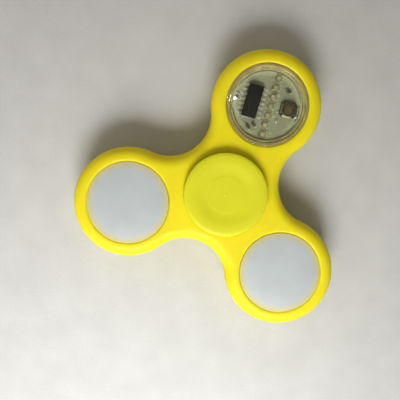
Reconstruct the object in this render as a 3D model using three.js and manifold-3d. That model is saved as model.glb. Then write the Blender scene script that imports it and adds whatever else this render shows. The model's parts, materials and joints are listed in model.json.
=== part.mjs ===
// A light-up fidget spinner with three lobes, in millimetres. +Z is the spin axis and the origin is the centre of
// the ball bearing. The lobe that holds the message module lies along +Y.
import * as THREE from "three";
import { mergeVertices } from "three/addons/utils/BufferGeometryUtils.js";
import Module from "manifold-3d";

const wasm = await Module();
wasm.setup();

// ---- Driving dimensions ----
const FIT = 0.02; // gap between pieces that rest on each other
const PAST = 1; // how far a cutter runs past the face it cuts

// Frame
const ARM = 26.2; // spin axis to the centre of a lobe
const LOBE_R = 14.85;
const WAIST_R = 14.8; // spin axis to the outline halfway between two lobes
const FRAME_T = 10;
const EDGE_W = 3; // rounded outer edge, measured across
const EDGE_H = 3.2; // and down
const LOBE_ANGLES = [90, 210, 330];

// Bearing, size 608
const BORE_R = 4;
const RING_R = 11;
const RING_T = 7;
const RING_CHAMFER = 0.4;
const INNER_LAND_R = 6.05;
const OUTER_LAND_R = 8.95;
const PITCH_R = 7.5;
const BALL_R = 1.984;
const BALLS = 7;
const GROOVE_R = 2.08;
const SEAT_R = 11.04; // the frame's seat for the outer ring
const SEAT_LIP_R = 10.3; // the frame's lip that stops the ring at the back
const CAGE_IN_R = 6.65;
const CAGE_OUT_R = 8.35;
const CAGE_LOW = -2.55;
const CAGE_HIGH = 1.1;
const CAGE_POCKET_R = 2.14;

// Finger caps
const CAP_R = 11.15;
const CAP_TOP = 7.5;
const CAP_UNDER = 5.4;
const CAP_SIDE_TOP = 7; // where the side turns into the rounded edge
const CAP_CHAMFER = 0.3;
const CREST_IN_R = 9.2; // flat crest of the rim
const CREST_OUT_R = 9.8;
const DISH_R = 5.1; // flat centre of the dish
const DISH_DEPTH = 0.4;
const BOSS_R = 5.95;
const STUB_R = 3.95;
const PIN_R = 1.9;
const PIN_REACH = 2.6;
const SOCKET_R = 2;
const SOCKET_REACH = 2.9;

// Module pocket in each lobe, open at the back and lipped at the front
const POCKET_R = 11.4;
const LIP_R = 11;
const LIP_Z = 4;
const MOUTH_W = 0.4; // rounded edge of the front mouth, across and down
const MOUTH_H = 0.35;
const BACK_MOUTH = 0.35; // rounded edge of the back mouth

// Light module, one in each lobe. Heights are in the frame of the spinner.
const MODULE_R = 11.3;
const PRESS = 0.25; // travel of a lens and its switch
const PRESS_SPARE = 0.07; // what is left under a lens that is pressed home
const LENS_R = 10.9;
const LENS_EDGE_Z = 5.15;
const LENS_TOP = 5.5; // at the crown
const LENS_CHAMFER = 0.2;
const LENS_UNDER = 4.35;
const LENS_FOOT = 2.1;
const LENS_IN_R = 9.85;
const HOUSING_IN_R = 10.05;
const LEDGE_R = 9.3;
const HOUSING_RIM = LENS_FOOT - PRESS - PRESS_SPARE;
const HOUSING_FLOOR = -2.5;
const HOUSING_BACK = -4.9;
const HOUSING_HOLLOW = -3.9; // the back is hollowed inside a rim
const HOUSING_HOLLOW_R = 10.15;
const HOUSING_HOLLOW_DRAFT = 0.15;
const HOUSING_BACK_EDGE = 0.45;
const BOARD_R = 9.7;
const BOARD_BOTTOM = 1.5;
const BOARD_TOP = 2.5;
const PART_Z = BOARD_TOP + FIT; // underside of everything soldered to the board
const CELL_R = 3.95;
const CELL_T = 3.6;
const CELL_RING = 4.9; // module axis to a cell's centre
const CELL_LOW = -2.3;
const CELL_CAP_R = 2.9;
const CELL_CAP_T = 0.3;
const CONTACT_T = 0.15;
const CONTACT_W = 3;

// Push switch
const SWITCH_SIDE = 4.5;
const SWITCH_CORNER = 0.9;
const SWITCH_TOP = 3.75;
const PLUNGER_R = 1;
const PLUNGER_CHAMFER = 0.15;
const PLUNGER_TOP = 4.1;
const PLUNGER_LOW = 3.1;
const WELL_R = 1.1;
const WELL_LOW = 2.8;
const POST_R = 1.5; // post under a lens that presses the plunger
const POST_ROOT = 0.3; // how far the post is sunk in the lens

// Message module: places on the board, with y along the row of lamps
const MESSAGE_TWIST = 9.2; // the module's turn in its pocket, in degrees
const LAMPS = 7;
const LAMP_PITCH = 2.55;
const LAMP_X = 1;
const LAMP_SIZE = [1.5, 1.6, 0.75];
const CHIP_X = -4.07;
const CHIP_SIZE = [3.9, 8.65, 1.15];
const CHIP_LIFT = 0.1;
const LEADS_A_SIDE = 7;
const LEAD_PITCH = 1.27;
const LEAD_REACH = 3;
const LEAD_FOOT = 0.65;
const LEAD_ROOT = 0.3; // how far a lead is sunk in the chip's body
const LEAD_W = 0.42;
const LEAD_T = 0.2;
const MESSAGE_SWITCH = [5.8, 0.25];
const SMALL_SIZE = [0.8, 1.6, 0.5]; // a resistor or a capacitor
const SMALL_PARTS = {
  message_resistor_1: [-3.36, -6.8, 49],
  message_resistor_2: [-2.08, -5.8, 49],
  message_resistor_3: [4.4, 5.1, 75],
  message_capacitor: [-8.4, 0.5, 0],
};

// Flash modules
const FLASH_LAMPS = { red: 90, green: 210, blue: 330 };
const FLASH_LAMP_RING = 6;
const FLASH_LAMP_SIZE = [2, 1.6, 0.9];

// ---- Materials ----
const material = (color, roughness, metalness = 0) => new THREE.MeshStandardMaterial({ color, roughness, metalness });
const FINISH = {
  frame: material(0xf7e528, 0.35),
  cap: material(0xdfdc31, 0.45),
  milky: material(0xd6dbd8, 0.4),
  clear: new THREE.MeshStandardMaterial({ color: 0xe6e2cc, roughness: 0.1, transparent: true, opacity: 0.35 }),
  board: material(0xc3c8b4, 0.5),
  chip: material(0x232624, 0.55),
  lamp: material(0xd9cf9d, 0.3),
  switchBase: material(0x55503c, 0.5),
  plunger: material(0x7a6428, 0.45),
  resistor: material(0x2f322f, 0.4),
  capacitor: material(0x8a7a5c, 0.5),
  steel: material(0xc8cacc, 0.2, 1),
  nylon: material(0xe8e4d4, 0.5),
  nickel: material(0xbfbfba, 0.3, 1),
};

// ---- Shapes ----
const rad = THREE.MathUtils.degToRad;
const polar = (radius, degrees) => [radius * Math.cos(rad(degrees)), radius * Math.sin(rad(degrees))];
const steps = (count) => Array.from({ length: count }, (_, i) => i);

// Points along an elliptical arc of a profile, from one angle to another in degrees.
function arc(r, z, width, height, from, to, count) {
  return steps(count + 1).map((i) => {
    const angle = rad(from + ((to - from) * i) / count);
    return [r + width * Math.cos(angle), z + height * Math.sin(angle)];
  });
}

// Turns a profile of [radius, z] points around Z. The profile runs counterclockwise, and one that doesn't start on
// the axis closes on itself.
function turned(profile, segments = 32) {
  const points = profile.map(([r, z]) => new THREE.Vector2(r, z));
  if (profile[0][0] > 0) points.push(points[0].clone());
  return new THREE.LatheGeometry(points, segments).rotateX(Math.PI / 2);
}

// A box centred on x and y, standing on z.
function block([width, length, height], x = 0, y = 0, z = 0) {
  return new THREE.BoxGeometry(width, length, height).translate(x, y, z + height / 2);
}

// A geometry as a solid that can be joined and cut.
function solid(geometry) {
  const bare = geometry.index ? geometry.toNonIndexed() : geometry.clone();
  bare.deleteAttribute("normal");
  bare.deleteAttribute("uv");
  const merged = mergeVertices(bare, 1e-4);
  const mesh = new wasm.Mesh({
    numProp: 3,
    vertProperties: merged.attributes.position.array,
    triVerts: new Uint32Array(merged.index.array),
  });
  return new wasm.Manifold(mesh);
}

// A solid as a geometry.
function geometryOf(body) {
  const { vertProperties, triVerts } = body.getMesh();
  const geometry = new THREE.BufferGeometry();
  geometry.setAttribute("position", new THREE.BufferAttribute(new Float32Array(vertProperties), 3));
  geometry.setIndex(new THREE.BufferAttribute(new Uint32Array(triVerts), 1));
  return geometry;
}

// A base geometry with others joined to it and others cut from it.
function combined(base, { join = [], cut = [] }) {
  const joined = join.reduce((body, tool) => body.add(solid(tool)), solid(base));
  return geometryOf(cut.reduce((body, tool) => body.subtract(solid(tool)), joined));
}

function piece(name, geometry, finish) {
  const mesh = new THREE.Mesh(geometry, finish);
  mesh.name = name;
  return mesh;
}

// ---- Frame ----
// Three round lobes joined by hollow arcs that touch each lobe smoothly.
function frameOutline() {
  const spare = WAIST_R ** 2 + ARM ** 2 - ARM * WAIST_R - LOBE_R ** 2;
  const hollowR = spare / (2 * (LOBE_R - WAIST_R) + ARM);
  const shape = new THREE.Shape();
  for (const angle of LOBE_ANGLES) {
    const [x, y] = polar(ARM, angle);
    const [hollowX, hollowY] = polar(hollowR + WAIST_R, angle + 60);
    const touch = Math.atan2(hollowY - y, hollowX - x);
    const hollowEnd = rad(2 * angle + 300) - touch;
    shape.absarc(x, y, LOBE_R, 2 * rad(angle) - touch, touch, false);
    shape.absarc(hollowX, hollowY, hollowR, touch + Math.PI, hollowEnd, true);
  }
  return shape;
}

function pocketCutter(angle) {
  const half = FRAME_T / 2;
  const profile = [
    [0, -half - PAST],
    [POCKET_R + BACK_MOUTH, -half - PAST],
    ...arc(POCKET_R + BACK_MOUTH, BACK_MOUTH - half, BACK_MOUTH, BACK_MOUTH, 270, 180, 2),
    [POCKET_R, LIP_Z],
    [LIP_R, LIP_Z],
    ...arc(LIP_R + MOUTH_W, half - MOUTH_H, MOUTH_W, MOUTH_H, 180, 90, 2),
    [LIP_R + MOUTH_W, half + PAST],
    [0, half + PAST],
  ];
  const [x, y] = polar(ARM, angle);
  return turned(profile).translate(x, y, 0);
}

function spinnerFrame() {
  const outside = new THREE.ExtrudeGeometry(frameOutline(), {
    depth: FRAME_T - 2 * EDGE_H,
    bevelThickness: EDGE_H,
    bevelSize: EDGE_W,
    bevelOffset: -EDGE_W,
    bevelSegments: 3,
    curveSegments: 8,
  }).translate(0, 0, EDGE_H - FRAME_T / 2);
  const bearingSeat = turned([
    [0, -FRAME_T / 2 - PAST],
    [SEAT_LIP_R, -FRAME_T / 2 - PAST],
    [SEAT_LIP_R, -RING_T / 2 - FIT],
    [SEAT_R, -RING_T / 2 - FIT],
    [SEAT_R, FRAME_T / 2 + PAST],
    [0, FRAME_T / 2 + PAST],
  ]);
  return combined(outside, { cut: [bearingSeat, ...LOBE_ANGLES.map(pocketCutter)] });
}

// ---- Bearing ----
// The groove that a land of radius landR leaves between its edges, as seen from the ball's centre.
function groove(landR, side) {
  const open = THREE.MathUtils.radToDeg(Math.acos(Math.abs(PITCH_R - landR) / GROOVE_R));
  const [from, to] = side === "inner" ? [180 + open, 180 - open] : [open, -open];
  return arc(PITCH_R, 0, GROOVE_R, GROOVE_R, from, to, 4);
}

function innerRing() {
  const half = RING_T / 2;
  return turned([
    [BORE_R + RING_CHAMFER, -half],
    [INNER_LAND_R, -half],
    ...groove(INNER_LAND_R, "inner"),
    [INNER_LAND_R, half],
    [BORE_R + RING_CHAMFER, half],
    [BORE_R, half - RING_CHAMFER],
    [BORE_R, RING_CHAMFER - half],
  ]);
}

function outerRing() {
  const half = RING_T / 2;
  return turned([
    [OUTER_LAND_R, -half],
    [RING_R - RING_CHAMFER, -half],
    [RING_R, RING_CHAMFER - half],
    [RING_R, half - RING_CHAMFER],
    [RING_R - RING_CHAMFER, half],
    [OUTER_LAND_R, half],
    ...groove(OUTER_LAND_R, "outer"),
  ]);
}

const ballCentre = (i) => [...polar(PITCH_R, (360 / BALLS) * i), 0];

// A crown cage: a ring whose pockets close over each ball far enough to hold it.
function bearingCage() {
  const ring = turned([
    [CAGE_IN_R, CAGE_LOW],
    [CAGE_OUT_R, CAGE_LOW],
    [CAGE_OUT_R, CAGE_HIGH],
    [CAGE_IN_R, CAGE_HIGH],
  ]);
  const pockets = steps(BALLS).map((i) => new THREE.SphereGeometry(CAGE_POCKET_R, 12, 8).translate(...ballCentre(i)));
  return combined(ring, { cut: pockets });
}

function bearing() {
  const group = new THREE.Group();
  group.add(piece("bearing_outer_ring", outerRing(), FINISH.steel));
  group.add(piece("bearing_inner_ring", innerRing(), FINISH.steel));
  group.add(piece("bearing_cage", bearingCage(), FINISH.nylon));
  for (const i of steps(BALLS)) {
    const ball = piece(
      `bearing_ball_${i + 1}`,
      new THREE.SphereGeometry(BALL_R, 10, 6).rotateX(Math.PI / 2),
      FINISH.steel,
    );
    ball.position.set(...ballCentre(i));
    group.add(ball);
  }
  return group;
}

// ---- Finger caps ----
// A cap over the upper face of the bearing: a dished pad on a boss, with a stub in the bore. The inner points make
// the stub's end: a pin on one cap and a socket for it on the other.
function fingerCap(stubEnd) {
  const dishFloor = CAP_TOP - DISH_DEPTH;
  const slope = steps(3).map((i) => {
    const share = i / 3;
    const rise = (DISH_DEPTH * (1 + Math.cos(Math.PI * share))) / 2;
    return [CREST_IN_R + (DISH_R - CREST_IN_R) * share, dishFloor + rise];
  });
  return turned([
    ...stubEnd,
    [STUB_R, FIT],
    [STUB_R, RING_T / 2 + FIT],
    [BOSS_R, RING_T / 2 + FIT],
    [BOSS_R, CAP_UNDER],
    [CAP_R - CAP_CHAMFER, CAP_UNDER],
    [CAP_R, CAP_UNDER + CAP_CHAMFER],
    ...arc(CREST_OUT_R, CAP_SIDE_TOP, CAP_R - CREST_OUT_R, CAP_TOP - CAP_SIDE_TOP, 0, 90, 4),
    ...slope,
    [DISH_R, dishFloor],
    [0, dishFloor],
  ]);
}

function fingerCaps() {
  const pin = [
    [0, -PIN_REACH],
    [PIN_R, -PIN_REACH],
    [PIN_R, FIT],
  ];
  const socket = [
    [0, SOCKET_REACH],
    [SOCKET_R, SOCKET_REACH],
    [SOCKET_R, FIT],
  ];
  const group = new THREE.Group();
  group.add(piece("finger_cap_top", fingerCap(pin), FINISH.cap));
  group.add(piece("finger_cap_bottom", fingerCap(socket).rotateX(Math.PI), FINISH.cap));
  return group;
}

// ---- Pieces that every light module has ----
// A pressable lens: a shallow cup whose shoulder sits under the lip of the pocket. The post reaches the switch.
function lens(postX, postY) {
  const crown = [1, 0.6, 0.3, 0].map((share) => {
    return [(LENS_R - LENS_CHAMFER) * share, LENS_TOP - (LENS_TOP - LENS_EDGE_Z) * share ** 2];
  });
  const cup = turned([
    [0, LENS_UNDER],
    [LENS_IN_R, LENS_UNDER],
    [LENS_IN_R, LENS_FOOT],
    [MODULE_R, LENS_FOOT],
    [MODULE_R, LIP_Z - FIT],
    [LENS_R, LIP_Z - FIT],
    [LENS_R, LENS_EDGE_Z - LENS_CHAMFER],
    ...crown,
  ]);
  const foot = PLUNGER_TOP + FIT;
  const root = LENS_UNDER + POST_ROOT;
  const post = new THREE.CylinderGeometry(POST_R, POST_R, root - foot, 16)
    .rotateX(Math.PI / 2)
    .translate(postX, postY, (root + foot) / 2);
  return combined(cup, { join: [post] });
}

// The cup that holds the cells and carries the board on its ledge.
function housing() {
  return turned([
    [0, HOUSING_HOLLOW],
    [HOUSING_HOLLOW_R - HOUSING_HOLLOW_DRAFT, HOUSING_HOLLOW],
    [HOUSING_HOLLOW_R, HOUSING_BACK],
    [MODULE_R - HOUSING_BACK_EDGE, HOUSING_BACK],
    [MODULE_R, HOUSING_BACK + HOUSING_BACK_EDGE],
    [MODULE_R, HOUSING_RIM],
    [HOUSING_IN_R, HOUSING_RIM],
    [HOUSING_IN_R, BOARD_BOTTOM - FIT],
    [LEDGE_R, BOARD_BOTTOM - FIT],
    [LEDGE_R, HOUSING_FLOOR],
    [0, HOUSING_FLOOR],
  ]);
}

function board() {
  return turned([
    [0, BOARD_BOTTOM],
    [BOARD_R, BOARD_BOTTOM],
    [BOARD_R, BOARD_TOP],
    [0, BOARD_TOP],
  ]);
}

// A button cell: a can with the raised cap of the other pole on one side.
function cell() {
  return turned(
    [
      [0, 0],
      [CELL_R, 0],
      [CELL_R, CELL_T - CELL_CAP_T],
      [CELL_CAP_R, CELL_T - CELL_CAP_T],
      [CELL_CAP_R, CELL_T],
      [0, CELL_T],
    ],
    18,
  );
}

const cellAngle = (i) => 90 + 120 * i;

// A strip of nickel that bridges two neighbouring cells.
function contactStrip(first, second, z) {
  const [x1, y1] = polar(CELL_RING, first);
  const [x2, y2] = polar(CELL_RING, second);
  const length = Math.hypot(x2 - x1, y2 - y1) + CONTACT_W;
  return block([length, CONTACT_W, CONTACT_T])
    .rotateZ(Math.atan2(y2 - y1, x2 - x1))
    .translate((x1 + x2) / 2, (y1 + y2) / 2, z);
}

function switchBase() {
  const half = SWITCH_SIDE / 2;
  const corner = half - SWITCH_CORNER;
  const outline = new THREE.Shape(
    [
      [half, corner],
      [corner, half],
      [-corner, half],
      [-half, corner],
      [-half, -corner],
      [-corner, -half],
      [corner, -half],
      [half, -corner],
    ].map(([x, y]) => new THREE.Vector2(x, y)),
  );
  const body = new THREE.ExtrudeGeometry(outline, { depth: SWITCH_TOP - PART_Z, bevelEnabled: false });
  const well = turned(
    [
      [0, WELL_LOW],
      [WELL_R, WELL_LOW],
      [WELL_R, SWITCH_TOP + PAST],
      [0, SWITCH_TOP + PAST],
    ],
    16,
  );
  return combined(body.translate(0, 0, PART_Z), { cut: [well] });
}

function plunger() {
  return turned(
    [
      [0, PLUNGER_LOW],
      [PLUNGER_R, PLUNGER_LOW],
      [PLUNGER_R, PLUNGER_TOP - PLUNGER_CHAMFER],
      [PLUNGER_R - PLUNGER_CHAMFER, PLUNGER_TOP],
      [0, PLUNGER_TOP],
    ],
    16,
  );
}

// A module without the parts on its board: its name, the switch's place, and the lens's finish.
function lightModule(name, [switchX, switchY], lensFinish) {
  const group = new THREE.Group();
  group.add(piece(`${name}_lens`, lens(switchX, switchY), lensFinish));
  group.add(piece(`${name}_housing`, housing(), FINISH.milky));
  group.add(piece(`${name}_board`, board(), FINISH.board));
  group.add(piece(`${name}_switch_base`, switchBase().translate(switchX, switchY, 0), FINISH.switchBase));
  group.add(piece(`${name}_switch_plunger`, plunger().translate(switchX, switchY, 0), FINISH.plunger));
  for (const i of steps(3)) {
    const [x, y] = polar(CELL_RING, cellAngle(i));
    group.add(piece(`${name}_cell_${i + 1}`, cell().translate(x, y, CELL_LOW), FINISH.nickel));
  }
  const floorStrip = contactStrip(cellAngle(0), cellAngle(1), HOUSING_FLOOR + FIT);
  group.add(piece(`${name}_contact_strip`, floorStrip, FINISH.nickel));
  return group;
}

// ---- Message module ----
// A small-outline chip with its bent leads.
function chip() {
  const [width, length, height] = CHIP_SIZE;
  const root = width / 2 - LEAD_ROOT;
  const knee = LEAD_REACH - LEAD_FOOT;
  const shoulder = CHIP_LIFT + height / 2;
  const bent = [
    [root, shoulder],
    [knee, shoulder],
    [knee, 0],
    [LEAD_REACH, 0],
    [LEAD_REACH, LEAD_T],
    [knee + LEAD_T, LEAD_T],
    [knee + LEAD_T, shoulder + LEAD_T],
    [root, shoulder + LEAD_T],
  ];
  const profile = new THREE.Shape(bent.map(([x, z]) => new THREE.Vector2(x, z)));
  const leads = [];
  for (const i of steps(LEADS_A_SIDE)) {
    const y = (i - (LEADS_A_SIDE - 1) / 2) * LEAD_PITCH;
    for (const turn of [0, Math.PI]) {
      const lead = new THREE.ExtrudeGeometry(profile, { depth: LEAD_W, bevelEnabled: false });
      leads.push(lead.rotateX(Math.PI / 2).translate(0, LEAD_W / 2, 0).rotateZ(turn).translate(0, y, 0));
    }
  }
  const body = block([width, length, height], 0, 0, CHIP_LIFT);
  return combined(body, { join: leads }).translate(CHIP_X, 0, PART_Z);
}

function messageModule() {
  const group = lightModule("message", MESSAGE_SWITCH, FINISH.clear);
  group.add(piece("message_chip", chip(), FINISH.chip));
  for (const i of steps(LAMPS)) {
    const y = (i - (LAMPS - 1) / 2) * LAMP_PITCH;
    group.add(piece(`message_led_${i + 1}`, block(LAMP_SIZE, LAMP_X, y, PART_Z), FINISH.lamp));
  }
  for (const [name, [x, y, turn]] of Object.entries(SMALL_PARTS)) {
    const finish = name.includes("capacitor") ? FINISH.capacitor : FINISH.resistor;
    group.add(piece(name, block(SMALL_SIZE).rotateZ(rad(turn)).translate(x, y, PART_Z), finish));
  }
  const boardStrip = contactStrip(cellAngle(1), cellAngle(2), BOARD_BOTTOM - FIT - CONTACT_T);
  group.add(piece("message_board_contact", boardStrip, FINISH.nickel));
  return group;
}

// ---- Flash modules ----
function flashModule(name) {
  const group = lightModule(name, [0, 0], FINISH.milky);
  for (const [colour, angle] of Object.entries(FLASH_LAMPS)) {
    const lamp = block(FLASH_LAMP_SIZE, 0, FLASH_LAMP_RING, PART_Z).rotateZ(rad(angle - 90));
    group.add(piece(`${name}_led_${colour}`, lamp, FINISH.lamp));
  }
  return group;
}

// ---- Assembly ----
const spinner = new THREE.Group();
spinner.add(piece("spinner_frame", spinnerFrame(), FINISH.frame), bearing(), fingerCaps());

const modules = [messageModule(), flashModule("flash_a"), flashModule("flash_b")];
modules.forEach((module, i) => {
  const angle = LOBE_ANGLES[i];
  module.position.set(...polar(ARM, angle), 0);
  module.rotation.z = rad(angle - 90 + (i === 0 ? MESSAGE_TWIST : 0));
  spinner.add(module);
});

export default spinner;
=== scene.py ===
"""The looks of a light-up fidget spinner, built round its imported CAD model. Sizes are in millimetres."""
import json
import math

import bmesh
import bpy
from mathutils import Matrix, Vector
from mathutils.geometry import delaunay_2d_cdt


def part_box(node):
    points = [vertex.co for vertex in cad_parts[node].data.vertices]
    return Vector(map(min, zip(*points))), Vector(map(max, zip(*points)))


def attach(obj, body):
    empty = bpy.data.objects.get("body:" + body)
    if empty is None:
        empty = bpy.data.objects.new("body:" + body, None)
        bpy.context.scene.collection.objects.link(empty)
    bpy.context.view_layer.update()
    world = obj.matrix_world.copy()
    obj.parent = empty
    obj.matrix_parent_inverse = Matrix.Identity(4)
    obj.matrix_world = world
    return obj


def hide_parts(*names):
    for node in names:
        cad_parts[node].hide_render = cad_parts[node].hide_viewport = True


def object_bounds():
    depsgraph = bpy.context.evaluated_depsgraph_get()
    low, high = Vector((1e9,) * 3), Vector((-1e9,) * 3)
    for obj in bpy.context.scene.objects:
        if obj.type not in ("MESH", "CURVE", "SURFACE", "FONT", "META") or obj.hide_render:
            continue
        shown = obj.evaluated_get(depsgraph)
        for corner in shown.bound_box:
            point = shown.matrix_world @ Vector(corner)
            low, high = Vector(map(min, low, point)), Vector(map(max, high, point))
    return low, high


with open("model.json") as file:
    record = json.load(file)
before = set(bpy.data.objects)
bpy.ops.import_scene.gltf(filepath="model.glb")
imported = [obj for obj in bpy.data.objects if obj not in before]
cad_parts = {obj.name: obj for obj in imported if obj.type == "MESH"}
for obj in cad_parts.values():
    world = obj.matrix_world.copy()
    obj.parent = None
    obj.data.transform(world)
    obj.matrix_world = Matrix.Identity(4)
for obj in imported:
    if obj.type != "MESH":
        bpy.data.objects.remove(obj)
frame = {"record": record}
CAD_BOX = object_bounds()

MM = 0.001
HERE = Matrix.Identity(4)
GAP = 0.02  # between neighbouring pieces that do not touch
CORNER_STEPS = 4  # straight steps in the rounding of a profile's corner
SHARP_ANGLE = 38  # degrees between faces above which an edge is shaded sharp
FOUR = [(-1, -1), (-1, 1), (1, -1), (1, 1)]  # the signs of x and y at the corners of a square
RECORD = frame["record"]
BODY_OF = {node: body for body, nodes in RECORD["behaviour"]["bodies"].items() for node in nodes}


def node_box(node):
    """The lowest and highest corner of a CAD node, in millimetres."""
    low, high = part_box(node)
    return low / MM, high / MM


def node_centre(node):
    low, high = node_box(node)
    return (low + high) / 2


def add_object(name, data):
    made = bpy.data.objects.new(name, data)
    bpy.context.scene.collection.objects.link(made)
    return made


# ---- Sizes ----
# Frame
ARM = node_centre("message_lens").y  # spin axis to the centre of a lobe
HALF_T = node_box("spinner_frame")[1].z
LOBE_R = node_box("spinner_frame")[1].y - ARM
WAIST_R = 14.8
EDGE_W, EDGE_H = 3, 3.2  # rounded outer edge, across and down
EDGE_STEPS = 9
SIDE_Z = 0.9  # a ring of points on the flat of the side
LOBE_ANGLES = (90, 210, 330)
LOBE_POINTS, HOLLOW_POINTS = 80, 40  # points along each arc of the outline
PARTING_Z = 0.14  # half the height of the mould's parting line
PARTING_OUT = 0.035
LIP_R, LIP_Z = 11, 4
MOUTH_W, MOUTH_H = 0.7, 0.42
POCKET_R = 11.4
BACK_MOUTH = 0.35
SEAT_R, SEAT_LIP_R, SEAT_Z = 11.04, 10.3, -3.52
SEAT_MOUTH = 0.3
HOLE_SEGMENTS = 120  # points round a hole, alike in its wall and in the flat faces
LAND_GRID = 1.1  # spacing of the points inside the flat faces
LAND_REACH = 40  # how far out those points are tried

# Bearing
RING_HALF = node_box("bearing_outer_ring")[1].z
PITCH_R = node_centre("bearing_ball_1").x
BALL_R = 1.984
BALLS = 7
GROOVE_R = 2.05
BORE_R, INNER_LAND_R, OUTER_LAND_R, RING_R = 4, 6.05, 8.95, 11
INNER_LAND_Z, OUTER_LAND_Z = 1.7, 1.8  # a ring of points on each land, beside its groove
RING_EDGE, LAND_EDGE = 0.4, 0.15
CAGE_IN_R, CAGE_OUT_R = 6.65, 8.35
CAGE_LOW, CAGE_HIGH = -2.55, 1.1
CAGE_POCKET_R = 2.12

# Finger caps
CAP_TOP = node_box("finger_cap_top")[1].z
CAP_R = 11.15
CAP_UNDER, CAP_SIDE_TOP = 5.4, 7
CREST_IN_R, CREST_OUT_R = 9.2, 9.8
DISH_R, DISH_DEPTH = 5.1, 0.4
DISH_RING = 0.014  # height of the faint ring round the dish's flat
BOSS_R, STUB_R, PIN_R, SOCKET_R = 5.95, 3.95, 1.9, 2
PIN_REACH, SOCKET_REACH = 2.6, 2.9
BORE_TOP = RING_HALF + 0.02

# Light modules
MODULE_R = 11.3
LENS_R, LENS_EDGE_Z, LENS_TOP = 10.98, 5.15, 5.5
LENS_UNDER, LENS_FOOT, LENS_IN_R = 4.35, 2.1, 9.85
RIM_OUT_R, RIM_TOP = 10.93, 4.85  # band inside the clear lens's edge, painted with the yellow pocket's refracted view
RIM_STEP_R, RIM_STEP = 9.82, 4  # the step inside its crest
RIM_IN_R, RIM_LOW = 9.4, 2.77  # its foot, which stands in over the edge of the board
UNDER_DROP = 0.28  # how far the clear and milky plates follow their crown at the rim
POST_R = 1.5
HOUSING_IN_R, LEDGE_R = 10.05, 9.3
HOUSING_RIM, HOUSING_FLOOR, HOUSING_BACK = 1.78, -2.5, -4.9
HOUSING_HOLLOW_R, HOUSING_HOLLOW = 10.15, -3.9  # the back is hollowed inside a rim
BOARD_R, BOARD_BOTTOM, BOARD_TOP = 9.7, 1.5, 2.5
CELL_R, CELL_T, CELL_RING, CELL_LOW = 3.95, 3.6, 4.9, -2.3
CELL_MOUTH_R, CELL_CAP_R, CELL_SINK = 3.3, 2.95, 0.42  # the gasket between can and cap, and its depth
STRIP_W, STRIP_T = 3, 0.15
SWITCH_SIDE, SWITCH_TOP, PLUNGER_TOP, PLUNGER_LOW = 4.5, 3.75, 4.1, 3.1
MODULES = {"message": 90, "flash_a": 210, "flash_b": 330}

# ---- Picture ----
VIEW_TURN = -25.18  # degrees about Z, Y and X that bring the spinner upright before the camera
VIEW_LEAN_Y = 1.39
VIEW_LEAN_X = 5.79
VIEW_OFFSET = (6.8, 1.6)
VIEW_DISTANCE = 147.6
VIEW_PLANE = 4.6  # height of the lenses, which the distance is counted from
VIEW_ANGLE = 40


def view_axes():
    """Rotation from the spinner's axes to the picture's: right, up, and towards the camera."""
    lean_x = Matrix.Rotation(math.radians(VIEW_LEAN_X), 3, "X")
    lean_y = Matrix.Rotation(math.radians(VIEW_LEAN_Y), 3, "Y")
    return lean_x @ lean_y @ Matrix.Rotation(math.radians(VIEW_TURN), 3, "Z")


def make_camera():
    camera = add_object("camera", bpy.data.cameras.new("camera"))
    camera.data.angle = math.radians(VIEW_ANGLE)
    camera.data.clip_start = 0.01
    back = view_axes().inverted()
    place = back @ Vector((-VIEW_OFFSET[0], -VIEW_OFFSET[1], VIEW_DISTANCE)) + Vector((0, 0, VIEW_PLANE))
    camera.matrix_world = Matrix.Translation(place * MM) @ back.to_4x4()
    bpy.context.scene.camera = camera


# ---- Shapes, built in a bmesh in millimetres ----
def polar(radius, degrees):
    return Vector((radius * math.cos(math.radians(degrees)), radius * math.sin(math.radians(degrees))))


def arc(r, z, width, height, start, end, steps):
    """Points of a profile along an elliptical arc, between two angles in degrees."""
    angles = [math.radians(start + (end - start) * i / steps) for i in range(steps + 1)]
    return [(r + width * math.cos(a), z + height * math.sin(a)) for a in angles]


def rounded(corners, closed=True):
    """Points of a profile whose corners are (r, z) or (r, z, radius), each rounded by its radius."""
    points = []
    count = len(corners)
    for i, corner in enumerate(corners):
        here = Vector(corner[:2])
        radius = corner[2] if len(corner) > 2 else 0
        ends = not closed and i in (0, count - 1)
        if radius == 0 or ends:
            points.append(tuple(here))
            continue
        before = (Vector(corners[i - 1][:2]) - here).normalized()
        after = (Vector(corners[(i + 1) % count][:2]) - here).normalized()
        half = before.angle(after) / 2
        middle = here + (before + after).normalized() * (radius / math.sin(half))
        first = here + before * (radius / math.tan(half)) - middle
        turn = before.angle_signed(-after)
        for step in range(CORNER_STEPS + 1):
            point = middle + Matrix.Rotation(-turn * step / CORNER_STEPS, 2) @ first
            points.append(tuple(point))
    return points


def skin(bm, rings, slot=0, closed=False):
    """Faces between neighbouring rings of points. A ring of one point closes that end."""
    made = [[bm.verts.new(point) for point in ring] for ring in rings]
    pairs = list(zip(made, made[1:]))
    if closed:
        pairs.append((made[-1], made[0]))
    for low, high in pairs:
        count = max(len(low), len(high))
        for i in range(count):
            j = (i + 1) % count
            corners = [low[i % len(low)], low[j % len(low)], high[j % len(high)], high[i % len(high)]]
            face = bm.faces.new(list(dict.fromkeys(corners)))
            face.material_index = slot
    return [vert for ring in made for vert in ring]


def ring_of(radius, z, segments, centre=(0, 0)):
    if radius < 1e-6:
        return [(centre[0], centre[1], z)]
    angles = [math.tau * i / segments for i in range(segments)]
    return [(centre[0] + radius * math.cos(a), centre[1] + radius * math.sin(a), z) for a in angles]


def lathe(bm, profile, centre=(0, 0), segments=96, slot=0):
    """Turns a profile of (radius, z). One that starts off the axis closes on itself."""
    rings = [ring_of(r, z, segments, centre) for r, z in profile]
    return skin(bm, rings, slot, closed=profile[0][0] > 1e-6)


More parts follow.
